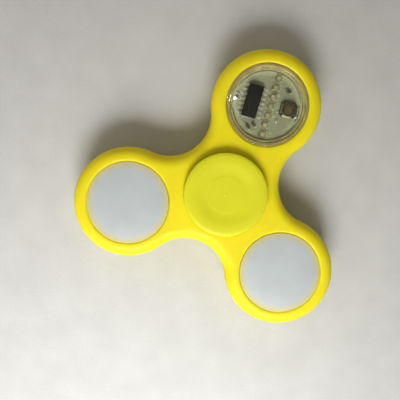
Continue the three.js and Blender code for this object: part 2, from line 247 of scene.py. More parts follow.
def place_verts(bm, verts, at, turn=0):
    """Turns new points about Z, in degrees, and moves them."""
    spin = Matrix.Rotation(math.radians(turn), 3, "Z")
    bmesh.ops.rotate(bm, verts=verts, cent=(0, 0, 0), matrix=spin)
    bmesh.ops.translate(bm, verts=verts, vec=at)


def block(bm, size, at, turn=0, edge=0, slot=0):
    """A box whose edges are rounded by edge. at is the centre of its underside."""
    made = bmesh.ops.create_cube(bm, size=1)["verts"]
    bmesh.ops.scale(bm, vec=size, verts=made)
    bmesh.ops.translate(bm, verts=made, vec=(0, 0, size[2] / 2))
    faces = {face for vert in made for face in vert.link_faces}
    if edge:
        edges = list({e for vert in made for e in vert.link_edges})
        bevel = bmesh.ops.bevel(bm, geom=edges, offset=edge, segments=2, profile=0.5, affect="EDGES")
        faces = {f for f in faces if f.is_valid} | set(bevel["faces"])
    for face in faces:
        face.material_index = slot
    verts = list({vert for face in faces for vert in face.verts})
    place_verts(bm, verts, at, turn)


def prism(bm, outline, low, high, edge, slot, drop=None):
    """An outline of (x, y) raised from low to high.
    Its edges are cut back by edge, and with drop only the upper one is, sloping down by drop."""
    points = [Vector(p) for p in outline]
    count = len(points)

    def inset(by):
        moved = []
        for i, here in enumerate(points):
            before = (here - points[i - 1]).normalized()
            after = (points[(i + 1) % count] - here).normalized()
            normal = (Vector((before.y, -before.x)) + Vector((after.y, -after.x))).normalized()
            reach = by / max(0.2, math.sqrt((1 + before.dot(after)) / 2))
            moved.append(here - normal * reach)
        return moved

    if drop:
        levels = [(0, low), (0, high - drop), (edge, high)]
    else:
        levels = [(edge, low), (edge * 0.3, low + edge * 0.3), (0, low + edge)]
        levels += [(0, high - edge), (edge * 0.3, high - edge * 0.3), (edge, high)]
    rings = [[(p.x, p.y, z) for p in inset(by)] for by, z in levels]
    verts = skin(bm, rings, slot)
    for end in (verts[:count], verts[-count:]):
        bm.faces.new(end).material_index = slot


def dome(bm, at, across, along, height, turn=0):
    """A low mound, such as a drop of solder."""
    profile = [(0, 0)] + arc(0, 0, 1, 1, 0, 67.5, 3) + [(0, 1)]
    verts = skin(bm, [ring_of(r, z, 12) for r, z in profile])
    bmesh.ops.scale(bm, vec=(across, along, height), verts=verts)
    place_verts(bm, verts, at, turn)


def strip(bm, path, thick, width, at, slot):
    """A flat strip bent along a path of (x, z), with its width along y."""
    points = [Vector(p) for p in path]
    upper, lower = [], []
    for i, here in enumerate(points):
        ahead = (points[min(i + 1, len(points) - 1)] - points[max(i - 1, 0)]).normalized()
        normal = Vector((-ahead.y, ahead.x)) * (thick / 2)
        upper.append(here + normal)
        lower.append(here - normal)
    rings = []
    for up, down in zip(upper, lower):
        sides = ((up, width / 2), (up, -width / 2), (down, -width / 2), (down, width / 2))
        rings.append([(p.x, y, p.y) for p, y in sides])
    verts = skin(bm, rings, slot)
    for end in (verts[:4], verts[-4:]):
        bm.faces.new(end).material_index = slot
    place_verts(bm, verts, at)


def piece(bm, name, body, materials, nodes=(), place=HERE, sharp=SHARP_ANGLE):
    """Makes the object, parents it to the body it rides on, and hides the CAD nodes it stands for."""
    bmesh.ops.remove_doubles(bm, verts=bm.verts, dist=1e-4)
    bmesh.ops.recalc_face_normals(bm, faces=bm.faces)
    bmesh.ops.scale(bm, vec=(MM, MM, MM), verts=bm.verts)
    bmesh.ops.rotate(bm, verts=bm.verts, cent=(0, 0, 0), matrix=place.to_3x3())
    mesh = bpy.data.meshes.new(name)
    bm.to_mesh(mesh)
    bm.free()
    for material in materials:
        mesh.materials.append(material)
    mesh.shade_smooth()
    mesh.set_sharp_from_angle(angle=math.radians(sharp))
    made = add_object(name, mesh)
    made.location = place.translation
    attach(made, body)
    if nodes:
        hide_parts(*nodes)
    return made


def stand_for(bm, node, materials, place=HERE, sharp=SHARP_ANGLE):
    """A fine piece that takes a CAD node's place."""
    return piece(bm, f"{node}_fine", BODY_OF[node], materials, [node], place, sharp)


# ---- Materials ----
class Paint:
    """A material under construction: a Principled shader and short calls for the nodes that feed it."""

    def __init__(self, name, **uniform):
        self.material = bpy.data.materials.new(name)
        self.material.use_nodes = True
        self.tree = self.material.node_tree
        self.shader = self.tree.nodes["Principled BSDF"]
        self.place = self.tree.nodes.new("ShaderNodeTexCoord").outputs["Object"]
        for socket, value in uniform.items():
            self.shader.inputs[socket.replace("_", " ")].default_value = value

    def node(self, kind, inputs=None, **settings):
        made = self.tree.nodes.new("ShaderNode" + kind)
        for key, value in settings.items():
            setattr(made, key, value)
        for key, value in (inputs or {}).items():
            self.feed(made.inputs[key], value)
        return made

    def feed(self, socket, value):
        if isinstance(value, bpy.types.NodeSocket):
            self.tree.links.new(value, socket)
        else:
            socket.default_value = value

    def noise(self, size, detail=2.0, low=0.35, high=0.65, stretch=None):
        """Noise from 0 to 1 whose blobs are about size millimetres across."""
        vector = self.place
        if stretch:
            vector = self.node("Mapping", {"Vector": vector, "Scale": stretch}).outputs["Vector"]
        scale = 1 / (size * MM)
        made = self.node("TexNoise", {"Vector": vector, "Scale": scale, "Detail": detail})
        return self.range(made.outputs["Fac"], low, high, 0, 1)

    def range(self, value, low, high, to_low, to_high):
        inputs = {"Value": value, "From Min": low, "From Max": high, "To Min": to_low, "To Max": to_high}
        return self.node("MapRange", inputs).outputs["Result"]

    def maths(self, operation, first, second=0.0):
        return self.node("Math", {0: first, 1: second}, operation=operation).outputs[0]

    def radius(self):
        """Distance from the piece's own axis, in millimetres."""
        flatten = {0: self.place, 1: (1 / MM, 1 / MM, 0)}
        flat = self.node("VectorMath", flatten, operation="MULTIPLY").outputs["Vector"]
        return self.node("VectorMath", {0: flat}, operation="LENGTH").outputs["Value"]

    def blend(self, share, first, second):
        """A colour that goes from first to second as share goes from 0 to 1."""
        made = self.node("Mix", {"Factor": share}, data_type="RGBA")
        first_colour, second_colour, result = made.inputs[6], made.inputs[7], made.outputs[2]
        self.feed(first_colour, first)
        self.feed(second_colour, second)
        return result

    def bump(self, *layers):
        """Stacks (height from 0 to 1, depth in millimetres) pairs."""
        normal = None
        for height, depth in layers:
            inputs = {"Height": height, "Distance": depth * MM, "Strength": 1.0}
            made = self.node("Bump", inputs)
            if normal is not None:
                self.feed(made.inputs["Normal"], normal)
            normal = made.outputs["Normal"]
        self.feed(self.shader.inputs["Normal"], normal)

    def set(self, socket, value):
        self.feed(self.shader.inputs[socket], value)


def tone(colour, by):
    return (colour[0] * by, colour[1] * by, colour[2] * by, 1)


def moulded(name, colour, rough, grain=0.3, depth=0.003, **uniform):
    """Moulded plastic: slightly cloudy colour, fine grain, hairline scratches, and edges rubbed paler."""
    paint = Paint(name, **uniform)
    base = paint.blend(paint.noise(7), tone(colour, 0.97), tone(colour, 1.018))
    edges = paint.range(paint.node("NewGeometry").outputs["Pointiness"], 0.52, 0.6, 0, 0.08)
    pale = tuple(c + (1 - c) * 0.15 for c in colour) + (1,)
    paint.set("Base Color", paint.blend(edges, base, pale))
    scratches = paint.noise(0.5, 3, 0.6, 0.72, stretch=(0.12, 1.6, 1))
    cross = paint.noise(0.6, 3, 0.62, 0.74, stretch=(1.5, 0.14, 1))
    marks = paint.maths("MAXIMUM", scratches, cross)
    haze = paint.range(paint.noise(2.5), 0, 1, rough - 0.04, rough + 0.05)
    paint.set("Roughness", paint.maths("ADD", haze, paint.maths("MULTIPLY", marks, 0.06)))
    paint.bump((paint.noise(grain, 3), depth), (marks, -0.0012))
    return paint.material


def milky(name, colour, painted_glow_colour, passes, **uniform):
    """Milky diffuser plastic, with a painted glow towards the rim for the yellow pocket's light through
    it.
    It lets part of a lamp's light through, tinted by passes."""
    paint = Paint(name, **uniform)
    cloud = paint.blend(paint.noise(6), tone(colour, 0.975), tone(colour, 1.025))
    # painted glow: warmer towards the rim, standing in for the yellow pocket's light shining through
    rim = paint.range(paint.radius(), 8.6, LENS_R, 0, 1)
    rim = paint.maths("MULTIPLY", paint.maths("POWER", rim, 1.6), 0.85)
    paint.set("Base Color", paint.blend(rim, cloud, painted_glow_colour))
    marks = paint.noise(0.6, 3, 0.62, 0.74, stretch=(0.14, 1.5, 1))
    haze = paint.range(paint.noise(3), 0, 1, 0.4, 0.5)
    paint.set("Roughness", paint.maths("ADD", haze, paint.maths("MULTIPLY", marks, 0.05)))
    paint.bump((paint.noise(0.25, 3), 0.003), (marks, -0.001))
    lit_through(paint, passes)
    return paint.material


def lit_through(paint, passes):
    """Lets a lamp's light through the surface, tinted by passes."""
    way = paint.node("BsdfTransparent", {"Color": passes})
    lamp_ray = paint.node("LightPath").outputs["Is Shadow Ray"]
    both = paint.node("MixShader", {0: lamp_ray, 1: paint.shader.outputs[0], 2: way.outputs[0]})
    paint.tree.links.new(both.outputs[0], paint.tree.nodes["Material Output"].inputs["Surface"])


def clear(name, low, high, passes, **uniform):
    """Clear plastic whose tint wanders between low and high, with hairline scratches."""
    paint = Paint(name, **uniform)
    paint.set("Base Color", paint.blend(paint.noise(5), low, high))
    marks = paint.noise(0.5, 3, 0.64, 0.75, stretch=(1.5, 0.14, 1))
    paint.set("Roughness", paint.range(marks, 0, 1, 0.03, 0.1))
    paint.bump((paint.noise(4, 1), 0.012), (marks, -0.0015))
    lit_through(paint, passes)
    return paint.material


def pocket_view_paint(name, colour, pocket_shade_colour, passes, **uniform):
    """Plastic with a rough skin, streaked, painted with the view of the yellow pocket through the clear
    lens's wall (a painted reflection), darkening outwards to a painted shade of the pocket behind it.
    It lets most of a lamp's light through, tinted by passes."""
    paint = Paint(name, **uniform)
    # painted reflection of the pocket, streaked, with painted shade that darkens it outwards
    outwards = paint.range(paint.radius(), RIM_STEP_R, RIM_OUT_R, 0, 1)
    streaks = paint.blend(paint.noise(2.2, 3), tone(colour, 0.8), tone(colour, 1.2))
    paint.set("Base Color", paint.blend(outwards, streaks, pocket_shade_colour))
    paint.set("Roughness", paint.range(paint.noise(0.8), 0, 1, 0.45, 0.6))
    paint.bump((paint.noise(0.15, 3), 0.004))
    lit_through(paint, passes)
    return paint.material


def metal(name, colour, rough, turned=0.0, tarnish=0.08):
    """Metal, with fine turning rings where turned gives their depth, and a faint tarnish."""
    paint = Paint(name, Metallic=1.0)
    dull = tone(colour, 1 - tarnish)
    paint.set("Base Color", paint.blend(paint.noise(1.2, 4), dull, tone(colour, 1)))
    paint.set("Roughness", paint.range(paint.noise(0.8, 3), 0, 1, rough - 0.04, rough + 0.08))
    layers = [(paint.noise(0.08, 2), 0.0006)]
    if turned:
        rings = paint.maths("SINE", paint.maths("MULTIPLY", paint.radius(), 60.0))
        layers.append((paint.range(rings, -1, 1, 0, 1), turned))
    paint.bump(*layers)
    return paint.material


def plain(name, colour, rough, size=0.8, spread=0.1, depth=0.002, edge=None, passes=None, **uniform):
    """Small parts and boards: a surface mottled in blobs of size, by spread, and slightly uneven by depth.
    With edge it grows paler between those two radii, painted light where the pocket's lip shades the
    board, and with passes it lets a lamp's light through."""
    paint = Paint(name, **uniform)
    base = paint.blend(paint.noise(size, 4), tone(colour, 1 - spread), tone(colour, 1 + spread))
    if edge:
        outwards = paint.range(paint.radius(), edge[0], edge[1], 0, 1)
        # painted light: paler towards the rim, where the pocket's lip shades the board
        base = paint.blend(outwards, base, tone(colour, 1.9))
    paint.set("Base Color", base)
    paint.set("Roughness", paint.range(paint.noise(size / 2, 3), 0, 1, rough - 0.06, rough + 0.06))
    paint.bump((paint.noise(size / 6, 3), depth))
    if passes:
        lit_through(paint, passes)
    return paint.material


def floor_paint():
    paint = Paint("pale_floor", Roughness=0.7)
    colour = (0.55, 0.56, 0.565)
    paint.set("Base Color", paint.blend(paint.noise(9, 4), tone(colour, 0.97), tone(colour, 1.03)))
    paint.bump((paint.noise(0.6, 4), 0.02))
    return paint.material


# Case
YELLOW = moulded("frame_yellow", (0.8, 0.705, 0.018), 0.48, IOR=1.5, Specular_IOR_Level=0.3,
                 Subsurface_Weight=0.4, Subsurface_Radius=(1.0, 0.3, 0.03), Subsurface_Scale=0.0022)
LIME = moulded("cap_yellow", (0.68, 0.675, 0.026), 0.5, grain=0.22, depth=0.004, IOR=1.5,
               Specular_IOR_Level=0.3, Subsurface_Weight=0.12, Subsurface_Radius=(1.0, 0.9, 0.1),
               Subsurface_Scale=0.001)
# the second colour is a painted glow at the rim: the yellow pocket's light painted into the colour
MILKY = milky("milky_plastic", (0.485, 0.528, 0.555), (0.62, 0.535, 0.14, 1), (0.75, 0.74, 0.68, 1),
              IOR=1.5, Subsurface_Weight=0.35, Subsurface_Radius=(1.0, 0.95, 0.8),
              Subsurface_Scale=0.0018)
CLEAR = clear("clear_plastic", (0.93, 0.93, 0.88, 1), (0.95, 0.95, 0.91, 1), (0.95, 0.94, 0.89, 1),
              IOR=1.49, Transmission_Weight=1.0)
# a band painted with the pocket's refracted view: painted reflection, darkening outwards to painted shade
POCKET_VIEW = pocket_view_paint("painted_pocket_view_rim", (0.345, 0.305, 0.135), (0.245, 0.207, 0.056, 1), (0.95, 0.94, 0.88, 1),
                IOR=1.49, Subsurface_Weight=0.3, Subsurface_Radius=(1.0, 0.9, 0.6),
                Subsurface_Scale=0.0008)
# Bearing and cells
STEEL = metal("bearing_steel", (0.62, 0.62, 0.63), 0.16, turned=0.0006)
BALL_STEEL = metal("ball_steel", (0.68, 0.68, 0.69), 0.08, tarnish=0.03)
NYLON = moulded("cage_nylon", (0.75, 0.71, 0.6), 0.45, Subsurface_Weight=0.2,
                Subsurface_Radius=(1.0, 0.9, 0.7), Subsurface_Scale=0.001)
NICKEL = metal("nickel", (0.66, 0.64, 0.58), 0.3)
GASKET = plain("cell_gasket", (0.03, 0.03, 0.03), 0.6, size=0.3)
# Board
# edge=(7.5, 9.4) paints light onto the board's rim, where the pocket's lip shades it
MASK = plain("solder_mask", (0.262, 0.283, 0.206), 0.45, size=2.4, spread=0.05, depth=0.003,
             edge=(7.5, 9.4))
FIBRE = plain("board_edge", (0.2, 0.18, 0.1), 0.6, size=0.5)
TRACK = plain("track_under_mask", (0.262, 0.286, 0.2), 0.4, size=0.8, spread=0.05)
INK = plain("board_print", (0.5, 0.5, 0.44), 0.55, size=0.4, spread=0.04)
LAMP_LAND = plain("lamp_land", (0.2, 0.205, 0.115), 0.5, size=0.4, spread=0.06)
TIN = metal("tinned_metal", (0.6, 0.61, 0.54), 0.5, tarnish=0.12)
# Small parts
EPOXY = plain("chip_epoxy", (0.0095, 0.0115, 0.0108), 0.6, size=0.25, spread=0.25, depth=0.004,
              Specular_IOR_Level=0.2)
LAMP_BODY = plain("lamp_body", (0.22, 0.222, 0.12), 0.45, size=0.5, spread=0.05,
                  passes=(0.88, 0.87, 0.8, 1))
LAMP_GEL = plain("lamp_gel", (0.38, 0.365, 0.225), 0.25, size=0.4, spread=0.08,
                 passes=(0.94, 0.93, 0.88, 1), Subsurface_Weight=0.3,
                 Subsurface_Radius=(1.0, 0.9, 0.6), Subsurface_Scale=0.0003)
DARK_METAL = metal("switch_cover", (0.27, 0.262, 0.15), 0.36)
SWITCH_BLACK = plain("switch_body", (0.03, 0.027, 0.017), 0.42, size=0.4, spread=0.2)
PLUNGER = plain("switch_plunger", (0.12, 0.1, 0.035), 0.3, size=0.4, spread=0.12)
RESISTOR = plain("resistor_body", (0.07, 0.075, 0.052), 0.4, size=0.3, spread=0.2)
CERAMIC = plain("capacitor_body", (0.09, 0.085, 0.055), 0.45, size=0.3, spread=0.12)
DULL_TIN = metal("dull_tin", (0.34, 0.34, 0.27), 0.6, tarnish=0.15)


# ---- Frame ----
def frame_outline(inset):
    """The outline's points, moved inwards: round lobes joined by hollow arcs that touch them smoothly."""
    spare = WAIST_R**2 + ARM**2 - ARM * WAIST_R - LOBE_R**2
    hollow_r = spare / (2 * (LOBE_R - WAIST_R) + ARM)
    points = []
    for angle in LOBE_ANGLES:
        lobe = polar(ARM, angle)
        hollow = polar(hollow_r + WAIST_R, angle + 60)
        touch = math.degrees(math.atan2(hollow.y - lobe.y, hollow.x - lobe.x))
        lobe_start, hollow_end = 2 * angle - touch, 2 * angle + 300 - touch
        lobe_sweep = (touch - lobe_start) % 360
        hollow_sweep = (hollow_end - touch - 180) % 360 - 360
        for i in range(1, LOBE_POINTS + 1):
            turn = lobe_start + lobe_sweep * i / LOBE_POINTS
            points.append(lobe + polar(LOBE_R - inset, turn))
        for i in range(1, HOLLOW_POINTS + 1):
            turn = touch + 180 + hollow_sweep * i / HOLLOW_POINTS
            points.append(hollow + polar(hollow_r + inset, turn))
    return points


def land(bm, z, outline, circles):
    """The flat face between the outline and its round holes. Points inside keep its shading even."""
    rims = [list(outline)]
    for centre, radius in circles:
        rims.append([Vector(p[:2]) for p in ring_of(radius, 0, HOLE_SEGMENTS, centre)])
    points, edges = [], []
    for rim in rims:
        first = len(points)
        points += rim
        edges += [(first + i, first + (i + 1) % len(rim)) for i in range(len(rim))]
    holes = [(Vector(c), r) for c, r in circles]

    def inside(p, gap):
        clear_of_holes = all((p - c).length > r + gap for c, r in holes)
        crossings = 0
        for a, b in zip(outline, outline[1:] + outline[:1]):
            if (a.y > p.y) != (b.y > p.y) and p.x < a.x + (b.x - a.x) * (p.y - a.y) / (b.y - a.y):
                crossings += 1
        near = gap and min((p - q).length for q in outline) < gap
        return clear_of_holes and crossings % 2 == 1 and not near

    reach = int(LAND_REACH / LAND_GRID)
    for row in range(-reach, reach + 1):
        for column in range(-reach, reach + 1):
            p = Vector(((column + 0.5 * (row % 2)) * LAND_GRID, row * LAND_GRID * 0.87))
            if inside(p, LAND_GRID * 0.6):
                points.append(p)
    found, _, triangles, *_ = delaunay_2d_cdt(points, edges, [], 0, 1e-6)
    verts = [bm.verts.new((p.x, p.y, z)) for p in found]
    for triangle in triangles:
        middle = sum((found[i] for i in triangle), Vector((0, 0))) / 3
        if inside(middle, 0):
            bm.faces.new([verts[i] for i in triangle])
    loose = [v for v in verts if not v.link_faces]
    bmesh.ops.delete(bm, geom=loose, context="VERTS")


def make_frame():
    bm = bmesh.new()
    over = []  # (inset, z) from the upper face down the side to the parting line
    for i in range(EDGE_STEPS + 1):
        a = math.radians(90 * i / EDGE_STEPS)
        over.append((EDGE_W * (1 - math.sin(a)), HALF_T - EDGE_H * (1 - math.cos(a))))
    over += [(0, SIDE_Z), (0, PARTING_Z)]
    side = over + [(-PARTING_OUT, 0)] + [(inset, -z) for inset, z in reversed(over)]
    skin(bm, [[(p.x, p.y, z) for p in frame_outline(inset)] for inset, z in side])
    pocket = arc(LIP_R + MOUTH_W, HALF_T - MOUTH_H, MOUTH_W, MOUTH_H, 90, 180, 7)
    lip = [(LIP_R, LIP_Z + 0.2), (LIP_R, LIP_Z, 0.08), (POCKET_R, LIP_Z, 0.08), (POCKET_R, LIP_Z - 1)]
    pocket += rounded(lip, closed=False)
    pocket += arc(POCKET_R + BACK_MOUTH, BACK_MOUTH - HALF_T, BACK_MOUTH, BACK_MOUTH, 180, 270, 5)
    lobes = [polar(ARM, angle) for angle in LOBE_ANGLES]
    for lobe in lobes:
        skin(bm, [ring_of(r, z, HOLE_SEGMENTS, lobe) for r, z in pocket])
    upper_r, lower_r = SEAT_R + SEAT_MOUTH, SEAT_LIP_R + SEAT_MOUTH
    seat = arc(upper_r, HALF_T - SEAT_MOUTH, SEAT_MOUTH, SEAT_MOUTH, 90, 180, 4)
    seat += [(SEAT_R, SEAT_Z), (SEAT_LIP_R, SEAT_Z)]
    seat += arc(lower_r, SEAT_MOUTH - HALF_T, SEAT_MOUTH, SEAT_MOUTH, 180, 270, 4)
    skin(bm, [ring_of(r, z, HOLE_SEGMENTS) for r, z in seat])
    crest = frame_outline(EDGE_W)
    land(bm, HALF_T, crest, [(c, LIP_R + MOUTH_W) for c in lobes] + [((0, 0), upper_r)])
    land(bm, -HALF_T, crest, [(c, POCKET_R + BACK_MOUTH) for c in lobes] + [((0, 0), lower_r)])
    stand_for(bm, "spinner_frame", [YELLOW])


# ---- Finger caps ----
def cap_profile(stub_end):
    """The upper cap's profile, from the end of its stub out round the pad to the middle of the dish."""
    floor = CAP_TOP - DISH_DEPTH
    body = [(STUB_R, 0.02, 0.15), (STUB_R, BORE_TOP), (BOSS_R, BORE_TOP, 0.08), (BOSS_R, CAP_UNDER, 0.3)]
    body += [(CAP_R, CAP_UNDER, 0.3), (CAP_R, CAP_SIDE_TOP)]
    points = rounded(stub_end + body, closed=False)
    points += arc(CREST_OUT_R, CAP_SIDE_TOP, CAP_R - CREST_OUT_R, CAP_TOP - CAP_SIDE_TOP, 6, 90, 14)
    for i in range(13):
        share = i / 12
        r = CREST_IN_R + (DISH_R - CREST_IN_R) * share
        points.append((r, floor + DISH_DEPTH * (1 + math.cos(math.pi * share)) / 2))
    # Radius and share of the height of the faint ring
    ring = [(4.98, 0), (4.9, 0.4), (4.8, 0.9), (4.68, 1), (4.5, 0.75), (4.3, 0.35), (4.1, 0.1), (3.9, 0)]
    points += [(r, floor + DISH_RING * share) for r, share in ring]
    points += [(r, floor) for r in (3.6, 3, 2.4, 1.8, 1.3, 0.9)]
    # Radius and height of the pip that the mould's gate leaves in the middle
    gate = [(0.7, 0), (0.62, -0.012), (0.5, 0), (0.38, 0.02), (0.2, 0.032), (0, 0.035)]
    return points + [(r, floor + rise) for r, rise in gate]


def make_caps():
    pin = [(0, -PIN_REACH), (PIN_R, -PIN_REACH, 0.3), (PIN_R, 0.02, 0.1)]
    socket = [(0, SOCKET_REACH), (SOCKET_R, SOCKET_REACH, 0.1), (SOCKET_R, 0.02, 0.15)]
    for node, stub_end, turn in (("finger_cap_top", pin, 0), ("finger_cap_bottom", socket, math.pi)):
        bm = bmesh.new()
        lathe(bm, cap_profile(stub_end), segments=144)
        stand_for(bm, node, [LIME], Matrix.Rotation(turn, 4, "X"))


# ---- Bearing ----
def groove(land_r, side):
    """The ball's groove in a ring, between the two edges of its land."""
    open_angle = math.degrees(math.acos(abs(PITCH_R - land_r) / GROOVE_R))
    if side == "inner":
        return arc(PITCH_R, 0, GROOVE_R, GROOVE_R, 180 + open_angle, 180 - open_angle, 16)
    return arc(PITCH_R, 0, GROOVE_R, GROOVE_R, open_angle, -open_angle, 16)


def make_bearing():
    top = RING_HALF
    below = [(BORE_R, 0), (BORE_R, -top, RING_EDGE), (INNER_LAND_R, -top, LAND_EDGE)]
    above = [(INNER_LAND_R, top, LAND_EDGE), (BORE_R, top, RING_EDGE), (BORE_R, 1)]
    inner = rounded(below + [(INNER_LAND_R, -INNER_LAND_Z)], closed=False)
    inner += groove(INNER_LAND_R, "inner")
    inner += rounded([(INNER_LAND_R, INNER_LAND_Z)] + above, closed=False)
    below = [(OUTER_LAND_R, -OUTER_LAND_Z), (OUTER_LAND_R, -top, LAND_EDGE), (RING_R, -top, RING_EDGE)]
    above = [(RING_R, top, RING_EDGE), (OUTER_LAND_R, top, LAND_EDGE), (OUTER_LAND_R, OUTER_LAND_Z)]
    outer = rounded(below + above, closed=False) + groove(OUTER_LAND_R, "outer")
    for node, profile in (("bearing_inner_ring", inner), ("bearing_outer_ring", outer)):
        bm = bmesh.new()
        lathe(bm, profile, segments=120)
        stand_for(bm, node, [STEEL])
    for i in range(1, BALLS + 1):
        bm = bmesh.new()
        bmesh.ops.create_icosphere(bm, subdivisions=4, radius=BALL_R)
        centre = node_centre(f"bearing_ball_{i}")
        stand_for(bm, f"bearing_ball_{i}", [BALL_STEEL], Matrix.Translation(centre * MM), sharp=60)


def cut_from(target, cutters):
    """Cuts the cutters out of the target and removes them."""
    for cutter in cutters:
        modifier = target.modifiers.new("cut", "BOOLEAN")
        modifier.operation, modifier.solver, modifier.object = "DIFFERENCE", "EXACT", cutter
    evaluated = target.evaluated_get(bpy.context.evaluated_depsgraph_get())
    mesh = bpy.data.meshes.new_from_object(evaluated)
    target.modifiers.clear()
    target.data = mesh
    mesh.shade_smooth()
    mesh.set_sharp_from_angle(angle=math.radians(SHARP_ANGLE))
    for cutter in cutters:
        bpy.data.objects.remove(cutter)


def make_cage():
    """A ring with a round pocket for each ball."""
    bm = bmesh.new()
    ring = [(CAGE_IN_R, CAGE_LOW, 0.2), (CAGE_OUT_R, CAGE_LOW, 0.2), (CAGE_OUT_R, CAGE_HIGH, 0.15),
            (CAGE_IN_R, CAGE_HIGH, 0.15)]
    lathe(bm, rounded(ring), segments=140)
    cage = stand_for(bm, "bearing_cage", [NYLON])
    cutters = []
    for i in range(1, BALLS + 1):
        ball = bmesh.new()
        bmesh.ops.create_icosphere(ball, subdivisions=4, radius=CAGE_POCKET_R * MM)
        mesh = bpy.data.meshes.new("pocket")
        ball.to_mesh(mesh)
        ball.free()
        cutter = add_object("pocket", mesh)
        cutter.location = node_centre(f"bearing_ball_{i}") * MM
        cutters.append(cutter)
    bpy.context.view_layer.update()
    cut_from(cage, cutters)


# ---- Light modules ----
def module_place(name):
    """Where a module's own axes lie: centred on its lobe, with y pointing outwards along its lamps."""
    centre = node_centre(f"{name}_lens")
    if name == "message":
        along = node_centre("message_led_7") - node_centre("message_led_1")
        turn = math.atan2(along.y, along.x) - math.pi / 2
    else:
        turn = math.radians(MODULES[name] - 90)
    place = Vector((centre.x, centre.y, 0)) * MM
    return Matrix.Translation(place) @ Matrix.Rotation(turn, 4, "Z")


def shifted(place, at, turn=0):
    """A place moved by at, in millimetres, and turned about its Z, in degrees."""
    turned = Matrix.Rotation(math.radians(turn), 4, "Z")
    return place @ (Matrix.Translation(Vector(at) * MM) @ turned)


def local(place, node):
    """A node's centre in its module's own axes, in millimetres."""
    return (place.inverted() @ (node_centre(node) * MM)) / MM


def lens_profile(fall):
    """The lens's profile. Its crown drops towards the rim with the power fall of the radius."""
    shares = [1 - i / 16 for i in range(16)]
    crown = [((LENS_R - 0.3) * s, LENS_TOP - (LENS_TOP - LENS_EDGE_Z) * s**fall) for s in shares]
    under = [(LENS_IN_R * i / 10, LENS_UNDER - UNDER_DROP * (i / 10) ** 2) for i in range(10)]
    flange = LIP_Z - GAP
    edge = [(LENS_IN_R, LENS_UNDER - UNDER_DROP, 0.3), (LENS_IN_R, LENS_FOOT, 0.1)]
    edge += [(MODULE_R, LENS_FOOT, 0.12), (MODULE_R, flange, 0.12), (LENS_R, flange, 0.05)]
    edge += [(LENS_R, LENS_EDGE_Z, 0.2)]
    aim = (LENS_R - 0.6, LENS_EDGE_Z + 0.02)  # where the edge's rounding heads, left out afterwards
    return rounded(under + edge + [aim], closed=False)[:-1] + crown + [(0, LENS_TOP)]


def make_lens(name, place, paint, fall):
    """A lens with its round post over the switch."""
    bm = bmesh.new()
    lathe(bm, lens_profile(fall), segments=144)
    foot, top = PLUNGER_TOP + GAP, LENS_UNDER + 0.02
    at = local(place, f"{name}_switch_plunger")
    post = rounded([(0, foot), (POST_R, foot, 0.12), (POST_R, top)], closed=False)
    lathe(bm, post + [(0, top)], centre=(at.x, at.y), segments=48)
    stand_for(bm, f"{name}_lens", [paint], place)


def make_lens_rim(place):
    """The wall that shows through the clear lens's edge, painted with the pocket's refracted view, with a
    step inside its crest.
    """
    corners = [(RIM_IN_R, RIM_LOW, 0.03), (RIM_OUT_R, RIM_LOW, 0.05), (RIM_OUT_R, RIM_TOP, 0.12)]
    corners += [(RIM_STEP_R + 0.2, RIM_TOP, 0.3), (RIM_STEP_R + 0.06, RIM_STEP, 0.1)]
    corners += [(RIM_IN_R, RIM_STEP, 0.15)]
    bm = bmesh.new()
    lathe(bm, rounded(corners), segments=144)
    piece(bm, "message_lens_rim", "message_button", [POCKET_VIEW], place=place)


def make_housing(name, place):
    """The cup under a lens: a hollowed back, a wall, and a ledge that the board lies on."""
    bm = bmesh.new()
    ledge = BOARD_BOTTOM - GAP
    corners = [(0, HOUSING_HOLLOW), (HOUSING_HOLLOW_R - 0.15, HOUSING_HOLLOW, 0.3)]
    corners += [(HOUSING_HOLLOW_R, HOUSING_BACK, 0.12), (MODULE_R, HOUSING_BACK, 0.45)]
    corners += [(MODULE_R, HOUSING_RIM, 0.15), (HOUSING_IN_R, HOUSING_RIM, 0.1), (HOUSING_IN_R, ledge)]
    corners += [(LEDGE_R, ledge, 0.1), (LEDGE_R, HOUSING_FLOOR, 0.3), (0, HOUSING_FLOOR)]
    lathe(bm, rounded(corners, closed=False), segments=144)
    stand_for(bm, f"{name}_housing", [MILKY], place)


def make_cells(name, place):
    """Button cells: a can, a ring of gasket, and the raised cap."""
    sunk, shoulder = CELL_T - CELL_SINK, CELL_T - 0.3
    can = [(0, 0), (CELL_R, 0, 0.35), (CELL_R, shoulder, 0.2), (CELL_MOUTH_R + 0.05, shoulder, 0.1)]
    can += [(CELL_MOUTH_R, sunk)]
    gasket = [(CELL_MOUTH_R, sunk), (CELL_CAP_R, sunk)]
    cap = [(CELL_CAP_R, sunk), (CELL_CAP_R - 0.1, CELL_T, 0.15), (0, CELL_T)]
    for i in (1, 2, 3):
        at = local(place, f"{name}_cell_{i}")
        bm = bmesh.new()
        for profile, slot in ((can, 0), (gasket, 1), (cap, 0)):
            lathe_open(bm, rounded(profile, closed=False), slot)
        stand_for(bm, f"{name}_cell_{i}", [NICKEL, GASKET], shifted(place, (at.x, at.y, CELL_LOW)))


def lathe_open(bm, profile, slot, segments=72):
    """Turns a stretch of a profile that neighbouring stretches continue."""
    skin(bm, [ring_of(r, z, segments) for r, z in profile], slot)


def make_strip(node, start, end, z, place):
    """A nickel strip that joins the cells at two angles round the module."""
    bm = bmesh.new()
    first, second = polar(CELL_RING, start), polar(CELL_RING, end)
    middle = (first + second) / 2
    turn = math.degrees(math.atan2(second.y - first.y, second.x - first.x))
    length = (second - first).length + STRIP_W
    block(bm, (length, STRIP_W, STRIP_T), (middle.x, middle.y, z), turn, edge=0.05)
    stand_for(bm, node, [NICKEL], place)


